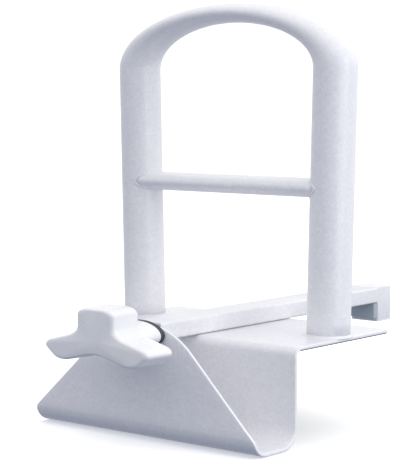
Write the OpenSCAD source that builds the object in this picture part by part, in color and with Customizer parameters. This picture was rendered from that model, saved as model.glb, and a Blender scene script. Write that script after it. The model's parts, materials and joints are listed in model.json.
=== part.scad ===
// Clamp-on bathtub grab rail, in millimetres.
// The origin is the middle of the rim seat, under the handle: Z = 0 is the face that rests on the tub's rim,
// Y = 0 is the plane of the handle, and X = 0 is the middle plane.
// The knob is towards -Y and the jaw towards +Y. The clamp is drawn fully closed.

/* [Handle] */
// Distance between the axes of the two legs at their feet
leg_pitch = 210; // [190:1:216]
// Outward lean of each leg, in degrees
splay = 1.4; // [0:0.1:2]
// Outside diameter of the legs
leg_d = 38; // [34:1:42]
// Height of the flattened tube at the crest, and of the crossbar
grip_t = 16.7; // [14:0.1:20]
// Height of the crest above the seat plate
handle_h = 286; // [240:0.5:330]
// Height of the crossbar's axis above the seat plate
bar_h = 126.6; // [90:0.1:160]
// Depth of the crossbar from front to rear
bar_d = 36; // [30:0.5:37]
// Wall thickness of the handle's tubes
tube_wall = 2; // [1.5:0.1:3]
// Width of the weld fillets round the feet
weld_w = 2.6; // [1.5:0.1:4]

/* [Bracket] */
// Width of the folded sheet
sheet_w = 246; // [240:1:270]
// Thickness of the folded sheet
sheet_t = 3; // [3:0.5:5]
// Distance from the handle's plane forward to the tub's outer side
wall_set = 67.5; // [55:0.5:80]
// Distance from the handle's plane back to the seat plate's rear edge
seat_rear = 67; // [60:1:95]
// Outside radius of the bend between seat plate and wall
top_bend_r = 8; // [7:0.5:12]
// Depth of the bracket's lowest face under the tub's rim
drop = 80; // [70:0.5:95]
// Outside radius of the two lower bends
low_bend_r = 18; // [14:0.5:22]
// Flat bottom between the two lower bends
flat_bottom = 22.5; // [16:0.5:40]
// Backward lean of the front plate, in degrees
lean = 3.4; // [1:0.1:6]
// Angle of the front plate's sloping sides above the horizontal, in degrees
side_slope = 42.9; // [38:0.1:48]
// Height at which the sloping sides would meet
side_apex = 48.5; // [44:0.1:56]
// Height of the front plate's rounded top
front_top = 19.5; // [18:0.5:24]
// Corner radius at the foot of the sloping sides
side_corner_r = 8; // [8:1:20]
// Corner radius of the seat plate
seat_corner_r = 4; // [2:1:10]
// Thickness of the rubber liners
liner_t = 1; // [1:0.5:3]

/* [Arm] */
// Width of the arm's tube
arm_w = 32; // [29:0.5:36]
// Height of the arm's tube
arm_h = 15; // [14.5:0.1:18]
// Wall thickness of the arm's tube and of the jaw
arm_wall = 1.5; // [1.5:0.1:1.8]
// Distance from the handle's plane back to the jaw's rear face
jaw_rear = 233.5; // [215:0.5:255]
// Depth of the jaw from front to rear
jaw_d = 23.5; // [18:0.5:30]
// Depth of the jaw's lowest face under the tub's rim
jaw_drop = 14.5; // [13:0.5:25]
// Thickness of the jaw's rubber pad
pad_t = 7; // [5:0.5:9]
// How far the arm slides out from the closed clamp
travel = 58; // [30:1:60]

/* [Screw and knob] */
// Outside diameter of the clamp screw
screw_d = 8; // [7:0.5:8]
// Distance from the centre of the knob to the blunt ends of its lobes, before it is widened
lobe_reach = 27; // [22:0.5:30]
// Width of a lobe, before it is widened
lobe_w = 19.2; // [14:0.2:20]
// Radius of the knob's middle between the lobes, before it is widened
hub_r = 11.8; // [11:0.1:14]
// Thickness of the knob's lobes from front to rear
lobe_d = 32; // [16:1:40]
// Length of the boss behind the lobes
boss_l = 23; // [14:0.5:32]
// Height of the boss and of the thrust pad
boss_h = 23; // [20:0.5:26]
// Thickness of the thrust pad at the screw's axis
thrust_t = 4; // [3:0.5:6]

/* [Hidden] */
$fn = 64;
white_coat = [0.93, 0.93, 0.96];
white_plastic = [0.95, 0.95, 0.97];
dark_rubber = [0.22, 0.27, 0.31];
grey_rubber = [0.5, 0.54, 0.57];
zinc = [0.72, 0.72, 0.74];
nylon = [0.85, 0.84, 0.8];

lap = 0.2;                                  // overlap of shapes that are joined
big = 400;                                  // larger than any part that is cut
gap = 0.3;                                  // play between bodies that pass each other
run_fit = 0.05;                             // radial clearance of a running fit
widen = leg_d / grip_t;                     // how much wider than high the flattened sections are
seat_z = liner_t + sheet_t;                 // top of the seat plate
wall_y = -wall_set - liner_t;               // rear face of the wall
bend_z = low_bend_r - drop;                 // height of the lower bends' centres
front_bend_y = wall_y - low_bend_r - flat_bottom;
liner_inset = 6;                            // the wall liner stops short of the sheet's edges
rim_inset = 1.5;                            // the rim liner nearly reaches the seat plate's edges
liner_front = wall_y + top_bend_r - sheet_t + 2;  // clear of the bend

// The bow is an arc that ends in line with the leaning legs. In its own narrow space the legs lean by
// bow_lean,
// and its end faces slope by bow_cut once it is widened.
axis_h = handle_h - grip_t / 2;             // height of the crest's axis above the seat plate
bow_lean = atan(tan(splay) / widen);
bow_cut = atan(tan(bow_lean) / widen);
bow_r = (leg_pitch / 2 + axis_h * tan(splay)) / (widen * cos(bow_lean) + tan(splay) * (1 + sin(bow_lean)));
bow_z = seat_z + axis_h - bow_r;            // height of the bow's centre
bow_foot_z = bow_z - bow_r * sin(bow_lean);

// Y of the front plate's front face at height z
function front_face(z) =
    front_bend_y - low_bend_r * cos(lean) + (z - bend_z - low_bend_r * sin(lean)) * tan(lean);
// Y of its rear face at height z
function front_back(z) = front_face(z) + sheet_t / cos(lean);

arm_z = seat_z + gap;                       // underside of the arm
arm_top = arm_z + arm_h;
arm_mid = arm_z + arm_h / 2;
block_floor = 0.5;                          // what is left of the nut block under the screw
axis_z = arm_z + arm_wall + block_floor + run_fit + screw_d / 2;
inner_w = arm_w - 2 * arm_wall;
inner_h = arm_h - 2 * arm_wall;

thrust_front = front_face(axis_z) - thrust_t;
knob_back = thrust_front - run_fit;
lobe_back = knob_back - boss_l;
knob_front = lobe_back - lobe_d;
insert_d = 14;
insert_l = 26;

bush_d = 11;
bush_flange_d = 15;
bush_rear = front_back(axis_z) + 2.2;
clip_front = bush_rear + 0.1;
clip_t = 1.2;
clip_d = 14;
groove_d = 6;
arm_front = clip_front + clip_t + 0.4;
block_front = arm_front + 1;
block_l = 22;
block_rear = block_front + block_l;
block_pin_d = 4;
block_pin_l = 7;
screw_front = knob_back - insert_l + 1;
screw_rear = block_rear + travel + 3;

stud_y = 40;
stud_d = 8;
stud_l = 11.6;
slot_w = stud_d + 2 * gap;
guide_washer_d = 15;
guide_washer_t = 1.5;
guide_washer_z = arm_z + arm_wall + 0.1;
guide_nut_h = 6.5;
guide_nut_af = 13;

jaw_front = jaw_rear - jaw_d;
plug_flange_t = 1.6;
jaw_z = plug_flange_t - jaw_drop;           // lower edge of the jaw's steel
pad_z = 4 - jaw_drop;                       // lower edge of the pad
pad_stud_d = 4;
pad_stud_depth = 3;                         // how far the studs reach into the pad
pad_stud_head_d = 8;
pad_stud_head_t = 1.5;
pad_inset = 0.5;                            // the pad stops short of the jaw's round corners
lobe_corner_r = 5;
weld_edge = 0.3;                            // thickness left at the rims of the weld fillets

// ---- helpers ----

// A cylinder along +Y from y0 to y1
module rod(y0, y1, d, x = 0, z = axis_z)
    translate([x, y0, z]) rotate([-90, 0, 0]) cylinder(h = y1 - y0, d = d);

// Extrudes a section drawn in (X, Z) along +Y from y0 to y1
module along_y(y0, y1)
    translate([0, y1, 0]) rotate([90, 0, 0]) linear_extrude(y1 - y0) children();

// A rectangle with round corners, centred
module round_rect(w, h, r) {
    square([w - 2 * r, h], center = true);
    square([w, h - 2 * r], center = true);
    for (sx = [-1, 1], sy = [-1, 1])
        translate([sx * (w / 2 - r), sy * (h / 2 - r)]) circle(r);
}

// A round bend of the sheet: the part of a ring between the directions a0 and a1, under 180 degrees
module bend(r, a0, a1) {
    reach = 2 * r;
    intersection() {
        difference() {
            circle(r);
            circle(r - sheet_t);
        }
        polygon([
            [0, 0],
            [reach * cos(a0), reach * sin(a0)],
            [reach * cos((a0 + a1) / 2) * 1.5, reach * sin((a0 + a1) / 2) * 1.5],
            [reach * cos(a1), reach * sin(a1)],
        ]);
    }
}

// ---- bracket ----

// The folded sheet seen from the side, in (Y, Z); each straight stretch laps a little into its bends
module sheet_profile() {
    top_bend_y = wall_y - sheet_t + top_bend_r;
    front_l = (front_top - bend_z) / cos(lean);
    translate([top_bend_y - lap, liner_t]) square([seat_rear - top_bend_y + lap, sheet_t]);
    translate([top_bend_y, seat_z - top_bend_r]) bend(top_bend_r, 90, 180);
    translate([wall_y - sheet_t, bend_z - lap]) square([sheet_t, seat_z - top_bend_r - bend_z + 2 * lap]);
    translate([wall_y - low_bend_r, bend_z]) bend(low_bend_r, 270, 360);
    translate([front_bend_y - lap, -drop]) square([flat_bottom + 2 * lap, sheet_t]);
    translate([front_bend_y, bend_z]) {
        bend(low_bend_r, 180 - lean, 270);
        rotate(-lean) translate([-low_bend_r, -lap]) square([sheet_t, front_l + lap]);
    }
}

// Points on an arc round centre c, from direction a0 to a1 in n steps
function arc(c, r, a0, a1, n) =
    [for (i = [0:n]) let (a = a0 + (a1 - a0) * i / n) c + r * [cos(a), sin(a)]];

// Right half of the front plate's edge seen from the front, in (X, Z), from its foot to its top:
// a straight side that starts and ends in an arc
function front_edge() =
    let (
        top_r = (side_apex - front_top) * cos(side_slope) / (1 - cos(side_slope)),
        foot_z = side_apex - sheet_w / 2 * tan(side_slope),
        foot_cut = side_corner_r * tan((90 - side_slope) / 2)
    )
    concat(
        arc([sheet_w / 2 - side_corner_r, foot_z - foot_cut], side_corner_r, 0, 90 - side_slope, 6),
        arc([0, front_top - top_r], top_r, 90 - side_slope, 90, 14)
    );

// What is cut away above the front plate, in (X, Z)
module front_waste() {
    right = front_edge();
    side = sheet_w / 2 + 5;
    foot_z = right[0][1];
    top_z = front_top + 20;
    for (mirror_x = [1, -1])
        scale([mirror_x, 1]) polygon(concat(right, [[0, top_z], [side, top_z], [side, foot_z]]));
}

// Cuts a square corner of the seat plate round; side is -1 or 1
module seat_corner(side)
    scale([side, 1, 1]) translate([sheet_w / 2 - seat_corner_r, seat_rear - seat_corner_r, liner_t - 1])
        difference() {
            cube([seat_corner_r + 1, seat_corner_r + 1, sheet_t + 2]);
            cylinder(h = sheet_t + 2, r = seat_corner_r);
        }

module bracket()
    color(white_coat)
    difference() {
        translate([-sheet_w / 2, 0, 0]) rotate([90, 0, 90]) linear_extrude(sheet_w) sheet_profile();
        along_y(front_bend_y - low_bend_r - 20, wall_y - low_bend_r) front_waste();
        for (side = [-1, 1]) seat_corner(side);
        rod(front_face(axis_z) - 10, bush_rear, bush_d);
    }

module rim_liner()
    color(dark_rubber)
    translate([-sheet_w / 2 + rim_inset, liner_front, 0])
        cube([sheet_w - 2 * rim_inset, seat_rear - rim_inset - liner_front, liner_t]);

module wall_liner()
    color(dark_rubber)
    translate([-sheet_w / 2 + liner_inset, wall_y, bend_z + 3])
        cube([sheet_w - 2 * liner_inset, liner_t, -bend_z - 9]);

// ---- handle ----

// A round bend of tube, widened: its ends are as round as the legs, and its crest is a flat oval
module handle_bow()
    color(white_coat)
    translate([0, 0, bow_z]) scale([widen, widen, 1]) rotate([90, -bow_lean, 0])
        rotate_extrude(angle = 180 + 2 * bow_lean) translate([bow_r, 0]) difference() {
            circle(grip_t / 2);
            circle(grip_t / 2 - tube_wall);
        }

// A cylinder along the axis of one leg, longer than the leg at both ends; side is -1 or 1
module leg_rod(side, d)
    translate([side * leg_pitch / 2, 0, seat_z]) rotate([0, side * splay, 0])
        translate([0, 0, -10]) cylinder(h = bow_z + 20, d = d);

module leg(side)
    color(white_coat)
    difference() {
        leg_rod(side, leg_d);
        leg_rod(side, leg_d - 2 * tube_wall);
        translate([-big / 2, -big / 2, seat_z - big]) cube(big);
        translate([side * bow_r * cos(bow_lean) * widen, 0, bow_foot_z]) rotate([0, side * bow_cut, 0])
            translate([-big / 2, -big / 2, 0]) cube(big);
    }

module bar_form(cut_in)
    translate([0, 0, seat_z + bar_h]) scale([1, bar_d / grip_t, 1]) rotate([0, 90, 0])
        cylinder(h = leg_pitch, d = grip_t - 2 * cut_in, center = true);

module crossbar()
    color(white_coat)
    difference() {
        bar_form(0);
        bar_form(tube_wall);
        for (side = [-1, 1]) leg_rod(side, leg_d);
    }

module leg_welds()
    color(white_coat)
    difference() {
        for (side = [-1, 1])
            translate([side * leg_pitch / 2, 0, seat_z]) rotate_extrude() difference() {
                translate([leg_d / 2 - 2 * lap, 0]) square([weld_w + 2 * lap, weld_w]);
                translate([leg_d / 2 + weld_w, weld_w]) circle(weld_w - weld_edge);
            }
        for (side = [-1, 1]) leg_rod(side, leg_d);
    }

// ---- parts held by the bracket ----

// Oval wear pad between the knob's boss and the leaning front plate
module thrust_pad()
    color(dark_rubber)
    difference() {
        along_y(thrust_front, front_face(axis_z) + 5)
            translate([0, axis_z]) scale([widen, 1]) circle(d = boss_h);
        // everything behind the plate's front face
        translate([-big / 2, front_face(0), 0]) rotate([-lean, 0, 0])
            translate([0, 0, -big / 2]) cube([big, big, big]);
        rod(thrust_front - 1, front_face(axis_z) + 6, screw_d + 4 * run_fit);
    }

// Nylon bush in the front plate, with its flange behind it
module screw_bush()
    color(nylon)
    difference() {
        union() {
            rod(front_face(axis_z) + 1.5, bush_rear, bush_d);
            difference() {
                rod(front_back(axis_z) - 3, bush_rear, bush_flange_d);
                translate([-big / 2, front_back(0) - big, 0]) rotate([-lean, 0, 0])
                    translate([0, 0, -big / 2]) cube([big, big, big]);
            }
        }
        rod(front_face(axis_z) - 1, bush_rear + 1, screw_d + 2 * run_fit);
    }

module guide_stud()
    color(zinc)
    translate([0, stud_y, seat_z]) cylinder(h = stud_l, d = stud_d);

module guide_washer()
    color(zinc)
    translate([0, stud_y, guide_washer_z]) difference() {
        cylinder(h = guide_washer_t, d = guide_washer_d);
        translate([0, 0, -1]) cylinder(h = guide_washer_t + 2, d = stud_d);
    }

module guide_nut()
    color(zinc)
    translate([0, stud_y, guide_washer_z + guide_washer_t]) difference() {
        cylinder(h = guide_nut_h, d = guide_nut_af / cos(30), $fn = 6);
        translate([0, 0, -1]) cylinder(h = guide_nut_h + 2, d = stud_d);
    }

// ---- knob and screw ----

// The knob seen from the front, in (X, Z), before it is widened
module lobe_outline() {
    circle(hub_r);
    for (turn = [0, 120, 240])
        rotate(90 + turn) translate([lobe_reach / 2, 0]) round_rect(lobe_reach, lobe_w, lobe_corner_r);
}

module knob_body()
    color(white_plastic)
    difference() {
        translate([0, 0, axis_z]) scale([widen, 1, 1]) {
            along_y(knob_front, lobe_back) lobe_outline();
            along_y(lobe_back, knob_back) circle(d = boss_h);
        }
        rod(knob_back - insert_l, knob_back + 1, insert_d);
    }

module knob_insert()
    color("gold")
    difference() {
        rod(knob_back - insert_l, knob_back, insert_d);
        rod(screw_front, knob_back + 1, screw_d);
    }

module clamp_screw()
    color(zinc)
    difference() {
        rod(screw_front, screw_rear, screw_d);
        difference() {
            rod(clip_front, clip_front + clip_t, 2 * screw_d);
            rod(clip_front - 1, clip_front + clip_t + 1, groove_d);
        }
    }

// Snap ring in the screw's groove, behind the bush
module retaining_clip()
    color(zinc)
    difference() {
        rod(clip_front, clip_front + clip_t, clip_d);
        rod(clip_front - 1, clip_front + clip_t + 1, groove_d);
        translate([-groove_d * 0.4, clip_front - 1, axis_z - clip_d]) cube([groove_d * 0.8, clip_t + 2, clip_d]);
    }

// ---- arm ----

module arm_tube()
    color(white_coat)
    difference() {
        along_y(arm_front, jaw_front) translate([0, arm_mid]) difference() {
            round_rect(arm_w, arm_h, 2);
            square([inner_w, inner_h], center = true);
        }
        // slot in the floor for the guide stud, over the whole travel
        translate([-slot_w / 2, stud_y - travel, arm_z - 1]) cube([slot_w, travel, arm_wall + 2]);
        for (y = [stud_y - travel, stud_y])
            translate([0, y, arm_z - 1]) cylinder(h = arm_wall + 2, d = slot_w);
        block_pin_forms();
    }

module block_pin_forms()
    for (side = [-1, 1])
        translate([side * arm_w / 2, (block_front + block_rear) / 2, arm_mid]) rotate([0, -side * 90, 0])
            cylinder(h = block_pin_l, d = block_pin_d);

module nut_block()
    color(zinc)
    difference() {
        along_y(block_front, block_rear) translate([0, arm_mid]) square([inner_w, inner_h], center = true);
        rod(block_front - 1, block_rear + 1, screw_d + 2 * run_fit);
        block_pin_forms();
    }

// Pins pressed in through the sides of the arm, and painted with it
module nut_block_pins()
    color(white_coat)
    block_pin_forms();

// The jaw's cross-section seen from above, in (X, Y)
module jaw_section(cut_in)
    translate([0, jaw_rear - jaw_d / 2])
        round_rect(arm_w - 2 * cut_in, jaw_d - 2 * cut_in, 2 - cut_in / 2);

module pad_stud_forms(d, y0, y1)
    for (side = [-1, 1]) rod(y0, y1, d, side * arm_w / 4, (pad_z + seat_z) / 2);

module jaw()
    color(white_coat)
    difference() {
        translate([0, 0, jaw_z]) linear_extrude(arm_top - jaw_z) jaw_section(0);
        translate([0, 0, jaw_z - 1]) linear_extrude(arm_top - arm_wall - jaw_z + 1) jaw_section(arm_wall);
        pad_stud_forms(pad_stud_d, jaw_front - 1, jaw_front + arm_wall + 1);
    }

module jaw_plug()
    color(white_plastic) {
        translate([0, 0, -jaw_drop]) linear_extrude(plug_flange_t) jaw_section(0);
        translate([0, 0, jaw_z]) linear_extrude(5) jaw_section(arm_wall);
    }

module jaw_pad()
    color(grey_rubber)
    difference() {
        translate([-arm_w / 2 + pad_inset / 2, jaw_front - pad_t, pad_z])
            cube([arm_w - pad_inset, pad_t, seat_z - pad_z]);
        pad_stud_forms(pad_stud_d, jaw_front - pad_stud_depth, jaw_front + 1);
    }

// Studs moulded into the back of the pad and riveted over inside the jaw
module pad_studs()
    color(zinc) {
        pad_stud_forms(pad_stud_d, jaw_front - pad_stud_depth, jaw_front + arm_wall + pad_stud_head_t);
        pad_stud_forms(pad_stud_head_d, jaw_front + arm_wall, jaw_front + arm_wall + pad_stud_head_t);
    }

bracket();
rim_liner();
wall_liner();
leg(-1);  // left_leg
leg(1);  // right_leg
handle_bow();
crossbar();
leg_welds();
thrust_pad();
screw_bush();
guide_stud();
guide_washer();
guide_nut();
knob_body();
knob_insert();
clamp_screw();
retaining_clip();
arm_tube();
nut_block();
nut_block_pins();
jaw();
jaw_plug();
jaw_pad();
pad_studs();
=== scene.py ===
import json
import math

import bmesh
import bpy
from mathutils import Matrix, Vector


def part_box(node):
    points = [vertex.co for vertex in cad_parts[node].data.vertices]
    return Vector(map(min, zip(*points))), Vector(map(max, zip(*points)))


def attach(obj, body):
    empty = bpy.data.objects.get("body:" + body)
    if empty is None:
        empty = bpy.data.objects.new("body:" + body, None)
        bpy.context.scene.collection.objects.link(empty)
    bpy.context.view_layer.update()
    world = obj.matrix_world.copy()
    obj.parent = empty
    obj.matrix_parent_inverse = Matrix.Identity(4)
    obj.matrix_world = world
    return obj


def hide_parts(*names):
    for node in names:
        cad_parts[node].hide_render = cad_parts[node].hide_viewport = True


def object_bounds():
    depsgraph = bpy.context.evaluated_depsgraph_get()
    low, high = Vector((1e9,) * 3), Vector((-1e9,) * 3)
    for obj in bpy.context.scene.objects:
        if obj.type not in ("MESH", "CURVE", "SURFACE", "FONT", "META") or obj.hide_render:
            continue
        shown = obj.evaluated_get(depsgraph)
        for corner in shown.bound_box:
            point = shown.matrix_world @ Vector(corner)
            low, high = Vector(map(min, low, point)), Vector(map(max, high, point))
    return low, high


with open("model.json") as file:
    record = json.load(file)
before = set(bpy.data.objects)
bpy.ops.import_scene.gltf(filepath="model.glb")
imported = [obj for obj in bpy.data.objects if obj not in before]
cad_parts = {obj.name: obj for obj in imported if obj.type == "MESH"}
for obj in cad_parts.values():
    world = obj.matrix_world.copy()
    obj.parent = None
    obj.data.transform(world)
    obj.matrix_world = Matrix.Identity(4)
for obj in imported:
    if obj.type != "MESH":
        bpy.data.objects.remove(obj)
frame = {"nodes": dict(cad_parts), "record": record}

cad_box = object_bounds()
MM = 0.001

# ---- the object's own dimensions, in millimetres ----
LEG_PITCH, SPLAY, LEG_R = 210.0, math.radians(1.4), 19.0
GRIP_R, WIDEN = 8.35, 38.0 / 16.7
SEAT_Z, CREST_H, BAR_H, BAR_DEPTH = 4.0, 286.0, 126.6, 36.0
SHEET_W, SHEET_T, LINER_T = 246.0, 3.0, 1.0
WALL_SET, SEAT_REAR, SEAT_CORNER_R = 67.5, 67.0, 4.0
TOP_BEND_R, LOW_BEND_R, DROP, FLAT_BOTTOM = 8.0, 18.0, 80.0, 22.5
LEAN, FRONT_TOP = math.radians(3.4), 19.5
SIDE_SLOPE, SIDE_APEX, SIDE_CORNER_R = math.radians(42.9), 48.5, 8.0
AXIS_Z = 10.35

AXIS_H = CREST_H - GRIP_R
BOW_LEAN = math.atan(math.tan(SPLAY) / WIDEN)
BOW_R = (LEG_PITCH / 2 + AXIS_H * math.tan(SPLAY)) / (
    WIDEN * math.cos(BOW_LEAN) + math.tan(SPLAY) * (1 + math.sin(BOW_LEAN)))
BOW_Z = SEAT_Z + AXIS_H - BOW_R
WALL_Y = -WALL_SET - LINER_T
BEND_Z = LOW_BEND_R - DROP
FRONT_BEND_Y = WALL_Y - LOW_BEND_R - FLAT_BOTTOM


# ---- materials ----
class Nodes:
    """A node tree with short calls to add and link nodes."""

    def __init__(self, name):
        self.mat = bpy.data.materials.new(name)
        self.mat.use_nodes = True
        self.tree = self.mat.node_tree
        self.shader = self.tree.nodes["Principled BSDF"]
        self.place = self.add("ShaderNodeTexCoord").outputs["Object"]

    def add(self, kind, **values):
        node = self.tree.nodes.new(kind)
        for key, value in values.items():
            if hasattr(node, key):
                setattr(node, key, value)
            else:
                node.inputs[key.replace("_", " ").title()].default_value = value
        return node

    def link(self, a, b):
        self.tree.links.new(a, b)

    def noise(self, size_mm, detail=2.0, stretch=(1, 1, 1), roughness=0.5):
        """Noise whose features are about size_mm across."""
        mapping = self.add("ShaderNodeMapping")
        mapping.inputs["Scale"].default_value = stretch
        self.link(self.place, mapping.inputs["Vector"])
        noise = self.add("ShaderNodeTexNoise", scale=1000.0 / size_mm, detail=detail, roughness=roughness)
        self.link(mapping.outputs[0], noise.inputs["Vector"])
        return noise.outputs["Fac"]

    def spread(self, value, low, high, to_low, to_high):
        node = self.add("ShaderNodeMapRange")
        node.inputs["From Min"].default_value = low
        node.inputs["From Max"].default_value = high
        node.inputs["To Min"].default_value = to_low
        node.inputs["To Max"].default_value = to_high
        self.link(value, node.inputs["Value"])
        return node.outputs["Result"]

    def mix(self, factor, a, b):
        node = self.add("ShaderNodeMix")
        node.data_type = "RGBA"
        for socket, value in ((node.inputs[0], factor), (node.inputs[6], a), (node.inputs[7], b)):
            if isinstance(value, bpy.types.NodeSocket):
                self.link(value, socket)
            else:
                socket.default_value = value
        return node.outputs[2]

    def bump(self, heights):
        """heights: (value, distance in mm, strength) of each layer of relief."""
        normal = None
        for value, distance, strength in heights:
            node = self.add("ShaderNodeBump")
            node.inputs["Strength"].default_value = strength
            node.inputs["Distance"].default_value = distance * MM
            self.link(value, node.inputs["Height"])
            if normal:
                self.link(normal, node.inputs["Normal"])
            normal = node.outputs["Normal"]
        self.link(normal, self.shader.inputs["Normal"])


def powder_coat():
    n = Nodes("white_powder_coat")
    mottle = n.noise(9, 3)
    grain = n.noise(2.4, 3, roughness=0.6)
    colour = n.mix(n.spread(mottle, 0.35, 0.65, 0, 1), (0.865, 0.865, 0.895, 1), (0.905, 0.905, 0.925, 1))
    colour = n.mix(n.spread(grain, 0.32, 0.68, 0, 0.5), colour, (0.72, 0.72, 0.78, 1))
    n.link(colour, n.shader.inputs["Base Color"])
    n.link(n.spread(grain, 0.3, 0.7, 0.30, 0.44), n.shader.inputs["Roughness"])
    n.shader.inputs["Coat Weight"].default_value = 0.35
    n.shader.inputs["Coat Roughness"].default_value = 0.13
    n.bump([(n.noise(3.2, 2), 0.25, 0.22), (grain, 0.12, 0.18)])
    return n.mat


def white_plastic():
    n = Nodes("white_plastic")
    flow = n.noise(26, 2, stretch=(1, 1, 1.6))
    grain = n.noise(0.9, 2)
    colour = n.mix(n.spread(flow, 0.35, 0.65, 0, 1), (0.865, 0.865, 0.895, 1), (0.90, 0.90, 0.92, 1))
    n.link(colour, n.shader.inputs["Base Color"])
    n.link(n.spread(grain, 0.3, 0.7, 0.24, 0.33), n.shader.inputs["Roughness"])
    n.shader.inputs["Subsurface Weight"].default_value = 0.08
    n.shader.inputs["Subsurface Scale"].default_value = 0.002
    n.bump([(flow, 0.3, 0.15), (grain, 0.05, 0.2)])
    return n.mat


def rubber(name, body, dusty):
    n = Nodes(name)
    dust = n.noise(7, 4, roughness=0.6)
    grain = n.noise(0.7, 3)
    colour = n.mix(n.spread(dust, 0.45, 0.75, 0, 0.5), body, dusty)
    n.link(colour, n.shader.inputs["Base Color"])
    n.link(n.spread(dust, 0.3, 0.7, 0.62, 0.85), n.shader.inputs["Roughness"])
    n.bump([(grain, 0.12, 0.5)])
    return n.mat


def metal(name, pale, dark, rough_low, rough_high, stretch):
    n = Nodes(name)
    streak = n.noise(1.2, 3, stretch=stretch)
    patch = n.noise(6, 3)
    n.link(n.mix(n.spread(patch, 0.35, 0.65, 0, 1), dark, pale), n.shader.inputs["Base Color"])
    n.link(n.spread(streak, 0.3, 0.7, rough_low, rough_high), n.shader.inputs["Roughness"])
    n.shader.inputs["Metallic"].default_value = 1.0
    n.bump([(streak, 0.04, 0.35)])
    return n.mat


def nylon():
    n = Nodes("nylon")
    n.link(n.mix(n.noise(5, 2), (0.78, 0.75, 0.67, 1), (0.84, 0.82, 0.75, 1)), n.shader.inputs["Base Color"])
    n.link(n.spread(n.noise(1, 2), 0.3, 0.7, 0.4, 0.55), n.shader.inputs["Roughness"])
    n.bump([(n.noise(0.8, 2), 0.05, 0.3)])
    return n.mat


MATERIALS = {
    "white_powder_coat": powder_coat(),
    "white_plastic": white_plastic(),
    # near-black rubber for the thrust pad behind the knob: partly the rubber's own dark colour, partly
    # painted shade, darkened to stand in for the shadow in the gap between knob and front plate
    "dark_rubber": rubber("dark_rubber", (0.045, 0.065, 0.08, 1), (0.16, 0.19, 0.21, 1)),
    "grey_rubber": rubber("grey_rubber", (0.42, 0.475, 0.52, 1), (0.49, 0.53, 0.56, 1)),
    "zinc_steel": metal("zinc_steel", (0.72, 0.73, 0.75, 1), (0.58, 0.6, 0.62, 1), 0.28, 0.46, (1, 0.15, 1)),
    "brass": metal("brass", (0.80, 0.62, 0.32, 1), (0.68, 0.5, 0.24, 1), 0.25, 0.4, (1, 0.2, 1)),
    "nylon": nylon(),
}
SLOTS = {s["node"]: s["material_slot"] for s in frame["record"]["subparts"]}
BODIES = {n: body for body, names in frame["record"]["behaviour"]["bodies"].items() for n in names}


# ---- making pieces ----
def piece(name, verts, faces, node, replaces=()):
    """A mesh with its places in millimetres, that rides and is finished like one CAD node."""
    data = bpy.data.meshes.new(name)
    data.from_pydata([Vector(v) * MM for v in verts], [], faces)
    bm = bmesh.new()
    bm.from_mesh(data)
    bmesh.ops.remove_doubles(bm, verts=bm.verts, dist=1e-6)
    bmesh.ops.recalc_face_normals(bm, faces=bm.faces)
    bm.to_mesh(data)
    bm.free()
    data.polygons.foreach_set("use_smooth", [True] * len(data.polygons))
    obj = bpy.data.objects.new(name, data)
    bpy.context.scene.collection.objects.link(obj)
    finish_piece(obj, node, replaces)
    return obj


def finish_piece(obj, node, replaces):
    obj.data.materials.clear()
    obj.data.materials.append(MATERIALS[SLOTS[node]])
    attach(obj, BODIES[node])
    if replaces:
        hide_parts(*replaces)


def stitch(rings, closed_ring=True, closed_path=False):
    """Quads between rings of equally many points, laid end to end in one list."""
    count, n = len(rings), len(rings[0])
    verts = [p for ring in rings for p in ring]
    faces = []
    for i in range(count if closed_path else count - 1):
        j = (i + 1) % count
        for k in range(n if closed_ring else n - 1):
            m = (k + 1) % n
            faces.append((i * n + k, i * n + m, j * n + m, j * n + k))
    return verts, faces


def capped(rings):
    """A closed tube of rings with a flat face at each end."""
    verts, faces = stitch(rings)
    n, total = len(rings[0]), len(verts)
    return verts, faces + [tuple(range(n)), tuple(range(total - n, total))]


def softened(node, width, segments=3, angle=35):
    """A copy of a CAD node with its sharp edges rounded by width, in millimetres."""
    obj = bpy.data.objects.new(node + "_soft", frame["nodes"][node].data.copy())
    bpy.context.scene.collection.objects.link(obj)
    bm = bmesh.new()
    bm.from_mesh(obj.data)
    bmesh.ops.remove_doubles(bm, verts=bm.verts, dist=1e-6)
    bmesh.ops.dissolve_limit(bm, angle_limit=math.radians(1), verts=bm.verts, edges=bm.edges)
    bm.to_mesh(obj.data)
    bm.free()
    obj.data.polygons.foreach_set("use_smooth", [True] * len(obj.data.polygons))
    bevel = obj.modifiers.new("edges", "BEVEL")
    bevel.width, bevel.segments, bevel.limit_method = width * MM, segments, "ANGLE"
    bevel.angle_limit = math.radians(angle)
    bevel.harden_normals = True
    bevel.use_clamp_overlap = True
    finish_piece(obj, node, (node,))
    return obj


# ---- handle ----
def leg_axis():
    return Vector((math.sin(SPLAY), 0, math.cos(SPLAY)))


def handle_tube():
    """One bent tube: two leaning legs and a bow that flattens towards its crest."""
    around, arc, leg = 64, 72, 18
    rings = []
    for i in range(arc + 1):
        a = -BOW_LEAN + (math.pi + 2 * BOW_LEAN) * i / arc
        ring = []
        for k in range(around):
            b = 2 * math.pi * k / around
            reach = BOW_R + GRIP_R * math.cos(b)
            x, y = reach * math.cos(a) * WIDEN, GRIP_R * math.sin(b) * WIDEN
            ring.append(Vector((x, y, BOW_Z + reach * math.sin(a))))
        rings.append(ring)

    def down(ring, side):
        axis = leg_axis()
        axis.x *= side
        out = []
        for j in range(1, leg + 1):
            out.append([p - axis * ((p.z - SEAT_Z) / axis.z) * (j / leg) for p in ring])
        return out

    right, left = down(rings[0], 1), down(rings[-1], -1)
    return capped(right[::-1] + rings + left)


verts, faces = handle_tube()
piece("handle_tube", verts, faces, "handle_bow", ("handle_bow", "left_leg", "right_leg"))


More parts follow.
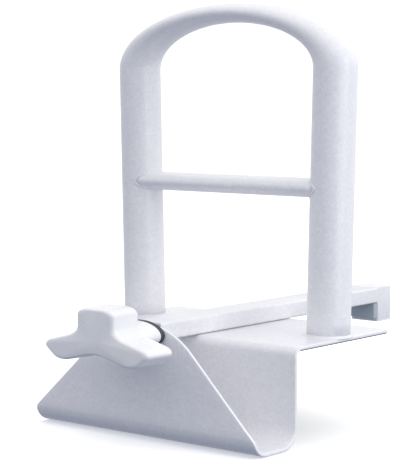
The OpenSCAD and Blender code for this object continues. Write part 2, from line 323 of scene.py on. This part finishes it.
def leg_inner_x(y, z):
    """X of the right leg's surface on the side towards the middle."""
    half_chord = math.sqrt(max(LEG_R ** 2 - y ** 2, 0))
    return LEG_PITCH / 2 + (z - SEAT_Z) * math.tan(SPLAY) - half_chord / math.cos(SPLAY)


def crossbar():
    around, along = 64, 30
    half = LEG_PITCH / 2 - 4
    rings = []
    for i in range(along + 1):
        x = -half + 2 * half * i / along
        rings.append([
            Vector((x, BAR_DEPTH / 2 * math.cos(b), SEAT_Z + BAR_H + GRIP_R * math.sin(b)))
            for b in (2 * math.pi * k / around for k in range(around))
        ])
    return capped(rings)


verts, faces = crossbar()
piece("crossbar_tube", verts, faces, "crossbar", ("crossbar",))


def bar_weld(side):
    """A thin bead of weld round the crossbar's end."""
    count, thick = 120, 10
    rings = []
    for i in range(count):
        b = 2 * math.pi * i / count
        y, z = BAR_DEPTH / 2 * math.cos(b), SEAT_Z + BAR_H + GRIP_R * math.sin(b)
        centre = Vector((side * leg_inner_x(y, z), y, z))
        out = Vector((0, math.cos(b) / BAR_DEPTH * 2, math.sin(b) / GRIP_R)).normalized()
        inward = Vector((-side, 0, 0))
        r = 1.25 + 0.12 * math.sin(31 * b) + 0.08 * math.sin(47 * b + 1.3)
        turns = [2 * math.pi * k / thick for k in range(thick)]
        rings.append([centre + (out * math.cos(t) + inward * math.sin(t)) * r for t in turns])
    return stitch(rings, closed_path=True)


for side, name in ((-1, "left"), (1, "right")):
    verts, faces = bar_weld(side)
    piece("bar_weld_" + name, verts, faces, "crossbar")


def foot_weld(side):
    """A concave fillet with a faint ripple, round the foot of a leg."""
    count = 144
    width = 2.55
    rings = []
    for i in range(count):
        a = 2 * math.pi * i / count
        ripple = 0.12 * math.sin(37 * a) + 0.07 * math.sin(53 * a + 0.7)
        w = width - 0.25 + ripple
        ring = [(LEG_R - 0.6, 0), (LEG_R + w, 0)]
        for j in range(1, 6):
            t = math.pi / 2 * j / 6
            ring.append((LEG_R + w - w * math.sin(t), w - w * math.cos(t)))
        ring += [(LEG_R, w), (LEG_R - 0.6, w)]
        rings.append([
            Vector((side * LEG_PITCH / 2 + r * math.cos(a), r * math.sin(a), SEAT_Z + h)) for r, h in ring
        ])
    return stitch(rings, closed_path=True)


verts, faces = [], []
for side in (-1, 1):
    v, f = foot_weld(side)
    faces += [tuple(k + len(verts) for k in face) for face in f]
    verts += v
piece("foot_welds", verts, faces, "leg_welds", ("leg_welds",))


# ---- folded sheet ----
class Fold:
    """The path of the sheet's middle in (Y, Z), from the seat's rear edge to the front plate's top."""

    def __init__(self):
        mid_top, mid_low = TOP_BEND_R - SHEET_T / 2, LOW_BEND_R - SHEET_T / 2
        seat_mid = LINER_T + SHEET_T / 2
        top_y = WALL_Y - SHEET_T + TOP_BEND_R
        top_z = SEAT_Z - TOP_BEND_R
        plate = (FRONT_TOP - BEND_Z) / math.cos(LEAN)
        self.parts = [
            ("line", (SEAT_REAR, seat_mid), 180, SEAT_REAR - top_y),
            ("arc", (top_y, top_z), 90, 90, mid_top),
            ("line", (WALL_Y - SHEET_T / 2, top_z), 270, top_z - BEND_Z),
            ("arc", (WALL_Y - LOW_BEND_R, BEND_Z), 0, -90, mid_low),
            ("line", (WALL_Y - LOW_BEND_R, BEND_Z - mid_low), 180, FLAT_BOTTOM),
            ("arc", (FRONT_BEND_Y, BEND_Z), 270, -(90 + math.degrees(LEAN)), mid_low),
            ("line", None, 90 - math.degrees(LEAN), plate),
        ]
        self.starts, s = [], 0.0
        for part in self.parts:
            self.starts.append(s)
            s += part[3] if part[0] == "line" else abs(math.radians(part[3])) * part[4]
        self.length = s

    def at(self, s, up):
        """The point at path length s, up millimetres to the side of the sheet that faces up on the seat."""
        for start, part in zip(reversed(self.starts), reversed(self.parts)):
            if s >= start:
                break
        d = s - start
        if part[0] == "line":
            a = math.radians(part[2])
            if part[1] is None:
                bend = self.parts[-2]
                oy, oz = self.arc_point(bend, abs(math.radians(bend[3])) * bend[4])[0]
            else:
                oy, oz = part[1]
            y, z = oy + d * math.cos(a), oz + d * math.sin(a)
            ny, nz = math.sin(a), -math.cos(a)
        else:
            (y, z), (ny, nz) = self.arc_point(part, d)
        return y + ny * up, z + nz * up

    @staticmethod
    def arc_point(part, d):
        (cy, cz), a0, turn, r = part[1:]
        a = math.radians(a0) + math.copysign(d / r, turn)
        out = (math.cos(a), math.sin(a))
        sign = 1 if turn > 0 else -1
        return (cy + r * out[0], cz + r * out[1]), (out[0] * sign, out[1] * sign)


fold = Fold()


def length_at_height(z, start):
    """Path length past start at which the sheet's middle is at height z."""
    low, high = start, fold.length + 40
    for _ in range(40):
        mid = (low + high) / 2
        if fold.at(mid, 0)[1] < z:
            low = mid
        else:
            high = mid
    return (low + high) / 2


def sheet_outline():
    """The right half of the flat sheet's outline as (x, path length), from the rear edge to the top."""
    half, r = SHEET_W / 2, SEAT_CORNER_R
    points = []
    for i in range(7):
        a = math.radians(-90 + 90 * i / 6)
        points.append((half - r + r * math.cos(a), r + r * math.sin(a)))
    front = fold.starts[5]
    foot_z = SIDE_APEX - half * math.tan(SIDE_SLOPE)
    slope_len = SIDE_CORNER_R * math.tan((math.pi / 2 - SIDE_SLOPE) / 2)
    corner = (half - SIDE_CORNER_R, foot_z - slope_len)
    s = r
    stops = [fold.starts[k] for k in range(1, 6)] + [length_at_height(corner[1], front)]
    for k, stop in enumerate(stops):
        bend = k in (1, 3, 5)
        steps = 10 if bend else 8
        for i in range(1, steps + 1):
            points.append((half, s + (stop - s) * i / steps))
        s = stop
    steps = 8
    for i in range(1, steps + 1):
        a = (math.pi / 2 - SIDE_SLOPE) * i / steps
        x, z = corner[0] + SIDE_CORNER_R * math.cos(a), corner[1] + SIDE_CORNER_R * math.sin(a)
        points.append((x, length_at_height(z, front)))
    top_r = (SIDE_APEX - FRONT_TOP) * math.cos(SIDE_SLOPE) / (1 - math.cos(SIDE_SLOPE))
    top_c = FRONT_TOP - top_r
    meet = math.pi / 2 - SIDE_SLOPE
    start, end = points[-1], (top_r * math.cos(meet), top_c + top_r * math.sin(meet))
    z0 = fold.at(start[1], 0)[1]
    for i in range(1, 21):
        z = z0 + (end[1] - z0) * i / 20
        points.append((start[0] + (end[0] - start[0]) * i / 20, length_at_height(z, front)))
    for i in range(1, 13):
        a = math.pi / 2 - SIDE_SLOPE + (SIDE_SLOPE - math.radians(6)) * i / 12
        points.append((top_r * math.cos(a), length_at_height(top_c + top_r * math.sin(a), front)))

    def top_at(x):
        return length_at_height(top_c + math.sqrt(top_r ** 2 - x ** 2), front)

    return points, top_at


def sheet_mesh():
    """The flat outline filled with rows of points on both faces, with a rounded rim, laid on the fold."""
    outline, top_at = sheet_outline()
    cols, edge = 36, 0.9
    n = len(outline)
    first = [(outline[0][0] * (-1 + 2 * j / cols), 0.0) for j in range(cols + 1)]
    last_x = [outline[-1][0] * (-1 + 2 * j / cols) for j in range(cols + 1)]
    last = [(x, top_at(x)) for x in last_x]
    loop = [p for p in outline] + last[::-1][1:] + [(-x, s) for x, s in outline[::-1]][1:] + first[1:-1]
    m = len(loop)
    normals = []
    for i in range(m):
        ax, as_ = loop[i - 1]
        bx, bs = loop[(i + 1) % m]
        dx, ds = bx - ax, bs - as_
        size = math.hypot(dx, ds) or 1.0
        normals.append((ds / size, -dx / size))
    verts, faces = [], []

    def put(x, s, up):
        y, z = fold.at(s, up)
        verts.append((x, y, z))
        return len(verts) - 1

    half = SHEET_T / 2
    turns = [math.pi / 2 * k / 4 for k in range(5)]
    steps = [(edge * (1 - math.sin(t)), half - edge + edge * math.cos(t)) for t in turns]
    profile = steps + [(0.0, 0.0)] + [(inset, -up) for inset, up in reversed(steps)]
    bands = []
    for inset, up in profile:
        bands.append([put(x - nx * inset, s - ns * inset, up) for (x, s), (nx, ns) in zip(loop, normals)])
    for a, b in zip(bands, bands[1:]):
        for i in range(m):
            j = (i + 1) % m
            faces.append((a[i], a[j], b[j], b[i]))
    # both faces: rows between a point of the right side and its mirror point
    for band, up in ((bands[0], half), (bands[-1], -half)):
        rows = []
        for i in range(n):
            right, left = band[i], band[(n - 1) + cols + (n - 1 - i)]
            if i == 0:
                inner = [band[(m - (cols - 1)) + j] for j in range(cols - 1)]
            elif i == n - 1:
                inner = [band[(n - 1) + (cols - j)] for j in range(1, cols)]
            else:
                x0 = verts[left][0]
                (xr, s), (nx, ns) = loop[i], normals[i]
                s_in = s - ns * edge
                inner = [put(x0 + (verts[right][0] - x0) * j / cols, s_in, up) for j in range(1, cols)]
            rows.append([left] + inner + [right])
        for a, b in zip(rows, rows[1:]):
            for j in range(cols):
                faces.append((a[j], a[j + 1], b[j + 1], b[j]))
    return verts, faces


verts, faces = sheet_mesh()
piece("folded_sheet", verts, faces, "bracket", ("bracket",))


# ---- knob ----
LOBE_REACH, LOBE_HALF, LOBE_CORNER_R, HUB_R = 27.0, 9.6, 6.0, 11.8
LOBE_D, BOSS_L, BOSS_R = 32.0, 23.0, 11.5
KNOB_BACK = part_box("knob_body")[1].y / MM
LOBE_BACK = KNOB_BACK - BOSS_L
KNOB_FRONT = LOBE_BACK - LOBE_D


def smooth_max(a, b, k):
    h = max(k - abs(a - b), 0) / k
    return max(a, b) + h * h * k / 4


def lobe_radius(angle, shrink=0.0):
    """Radius of the knob's outline before it is widened: a lobe up and one to each side below."""
    best = HUB_R - shrink
    corner = max(LOBE_CORNER_R - shrink / 2, 1.0)
    reach, half = LOBE_REACH - shrink, LOBE_HALF - shrink
    for turn in (90, 210, 330):
        a = math.radians(abs((math.degrees(angle) - turn + 180) % 360 - 180))
        if a > math.pi / 2 - 0.01:
            continue
        if reach * math.tan(a) <= half - corner:
            hit = reach / math.cos(a)
        elif half / math.tan(a) <= reach - corner:
            hit = half / math.sin(a)
        else:
            cx, cy = reach - corner, half - corner
            along = cx * math.cos(a) + cy * math.sin(a)
            hit = along + math.sqrt(max(along ** 2 - cx ** 2 - cy ** 2 + corner ** 2, 0))
        best = smooth_max(best, hit, 3.5)
    return best


def knob_mesh():
    """Blunt lobes with a slightly crowned front, rounded edges and draft, and the boss behind."""
    around = 288
    front_edge, rear_edge, crown, draft = 3.2, 3.0, 0.9, 0.6

    def ring(y, radius):
        out = []
        for k in range(around):
            a = 2 * math.pi * k / around
            r = radius(a)
            out.append(Vector((r * math.cos(a) * WIDEN, y, AXIS_Z + r * math.sin(a))))
        return out

    def lobes(y, shrink, share=1.0):
        return ring(y, lambda a: lobe_radius(a, shrink) * share)

    inner = draft + front_edge * 0.7
    shares = (0.0, 0.2, 0.4, 0.6, 0.8, 0.94)
    rings = [lobes(KNOB_FRONT + crown * share ** 2, inner, share) for share in shares]
    for k in range(9):
        t = math.pi / 2 * k / 8
        y = KNOB_FRONT + crown + front_edge * (1 - math.cos(t))
        rings.append(lobes(y, draft + front_edge * 0.7 * (1 - math.sin(t))))
    start, end = KNOB_FRONT + crown + front_edge, LOBE_BACK - rear_edge
    for k in range(1, 8):
        rings.append(lobes(start + (end - start) * k / 7, draft * (1 - k / 7)))
    for k in range(1, 7):
        t = math.pi / 2 * k / 6
        rings.append(lobes(end + rear_edge * math.sin(t), rear_edge * 0.7 * (1 - math.cos(t))))
    # the rear faces of the lobes run into the boss
    for k in range(1, 10):
        t = k / 9
        share = 1 - (1 - t) ** 1.6
        y = LOBE_BACK + 3.5 * t ** 2.4
        rings.append(ring(y, lambda a: lobe_radius(a, rear_edge * 0.7) * (1 - share) + BOSS_R * share))
    for back, inset in ((6.0, 0.0), (1.2, 0.0), (0.6, 0.15), (0.2, 0.5), (0.0, 1.0)):
        rings.append(ring(KNOB_BACK - back, lambda a: BOSS_R - inset))
    return capped(rings)


verts, faces = knob_mesh()
piece("knob_shell", verts, faces, "knob_body", ("knob_body",))

# ---- softened copies of the other visible nodes ----
for node, width in (("thrust_pad", 0.8), ("arm_tube", 0.5), ("jaw", 0.6), ("jaw_plug", 0.5), ("jaw_pad", 0.9),
                    ("rim_liner", 0.4), ("wall_liner", 0.4), ("guide_nut", 0.4), ("clamp_screw", 0.5)):
    softened(node, width)
for node, obj in frame["nodes"].items():
    obj.data.materials.clear()
    obj.data.materials.append(MATERIALS[SLOTS[node]])

# ---- stage, light and camera ----
def stage():
    """A round pale floor that curves up into a wall. It takes light and shadow, and gives none."""
    floor_z = cad_box[0][2] - 0.0005
    radius, cove, rise, around = 4.0, 1.5, 3.0, 96
    section = [(0.0, 0.0), (0.6, 0.0), (1.2, 0.0), (2.0, 0.0), (radius - cove, 0.0)]
    turns = [math.pi / 2 * k / 10 for k in range(1, 11)]
    section += [(radius - cove + cove * math.sin(t), cove - cove * math.cos(t)) for t in turns]
    section += [(radius, cove + rise)]
    rings = []
    for r, h in section[1:]:
        angles = [2 * math.pi * k / around for k in range(around)]
        rings.append([(r * math.cos(a), r * math.sin(a), floor_z + h) for a in angles])
    verts, faces = stitch(rings)
    faces.append(tuple(reversed(range(around))))
    mesh = bpy.data.meshes.new("floor")
    mesh.from_pydata(verts, [], faces)
    mesh.polygons.foreach_set("use_smooth", [True] * len(mesh.polygons))
    floor = bpy.data.objects.new("floor", mesh)
    bpy.context.scene.collection.objects.link(floor)
    n = Nodes("floor")
    n.link(n.mix(n.noise(60, 2), (0.93, 0.93, 0.93, 1), (0.95, 0.95, 0.95, 1)), n.shader.inputs["Base Color"])
    n.shader.inputs["Roughness"].default_value = 0.9
    n.shader.inputs["Specular IOR Level"].default_value = 0.1
    n.shader.inputs["Emission Color"].default_value = (1, 1, 1, 1)
    n.shader.inputs["Emission Strength"].default_value = 0.32
    floor.data.materials.append(n.mat)
    floor.visible_diffuse = floor.visible_glossy = floor.visible_shadow = False


def lamp(name, energy, place, aim, width, height):
    light = bpy.data.lights.new(name, "AREA")
    light.energy, light.shape, light.size, light.size_y = energy, "ELLIPSE", width, height
    obj = bpy.data.objects.new(name, light)
    bpy.context.scene.collection.objects.link(obj)
    obj.location = place
    obj.rotation_euler = (Vector(aim) - Vector(place)).to_track_quat("-Z", "Y").to_euler()


def studio_sky(low, high, towards):
    """Soft light from all round, that grows evenly from low to high in one direction."""
    world = bpy.data.worlds.new("studio")
    world.use_nodes = True
    tree = world.node_tree
    place = tree.nodes.new("ShaderNodeTexCoord")
    dot = tree.nodes.new("ShaderNodeVectorMath")
    dot.operation = "DOT_PRODUCT"
    dot.inputs[1].default_value = Vector(towards).normalized()
    share = tree.nodes.new("ShaderNodeMapRange")
    share.inputs["From Min"].default_value = -1.0
    mix = tree.nodes.new("ShaderNodeMix")
    mix.data_type = "RGBA"
    mix.inputs[6].default_value = (*low, 1)
    mix.inputs[7].default_value = (*high, 1)
    tree.links.new(place.outputs["Generated"], dot.inputs[0])
    tree.links.new(dot.outputs["Value"], share.inputs["Value"])
    tree.links.new(share.outputs["Result"], mix.inputs[0])
    tree.links.new(mix.outputs[2], tree.nodes["Background"].inputs["Color"])
    bpy.context.scene.world = world


stage()
studio_sky((0.05, 0.085, 0.18), (1.27, 1.265, 1.26), (-0.1, 0.35, 0.93))
lamp("key", 3.2, (1.0, -0.1, 0.25), (0, 0, 0.02), 0.9, 0.9)
lamp("strip", 0.5, (1.05, 0.17, 0.66), (0, 0, 0.2), 0.06, 0.34)

camera_data = bpy.data.cameras.new("camera")
camera_data.sensor_width, camera_data.lens, camera_data.clip_end = 36.0, 128.73, 100.0
camera = bpy.data.objects.new("camera", camera_data)
bpy.context.scene.collection.objects.link(camera)
TURN, DIP = math.radians(39.69), math.radians(4.87)
ahead = Vector((-math.sin(TURN) * math.cos(DIP), math.cos(TURN) * math.cos(DIP), -math.sin(DIP)))
right = Vector((math.cos(TURN), math.sin(TURN), 0))
up = right.cross(ahead)
place = Vector((0.91695, -1.14668, 0.21403))
camera.matrix_world = Matrix((
    (right.x, up.x, -ahead.x, place.x),
    (right.y, up.y, -ahead.y, place.y),
    (right.z, up.z, -ahead.z, place.z),
    (0, 0, 0, 1),
))
bpy.context.scene.camera = camera
bpy.context.scene.view_settings.view_transform = "Standard"
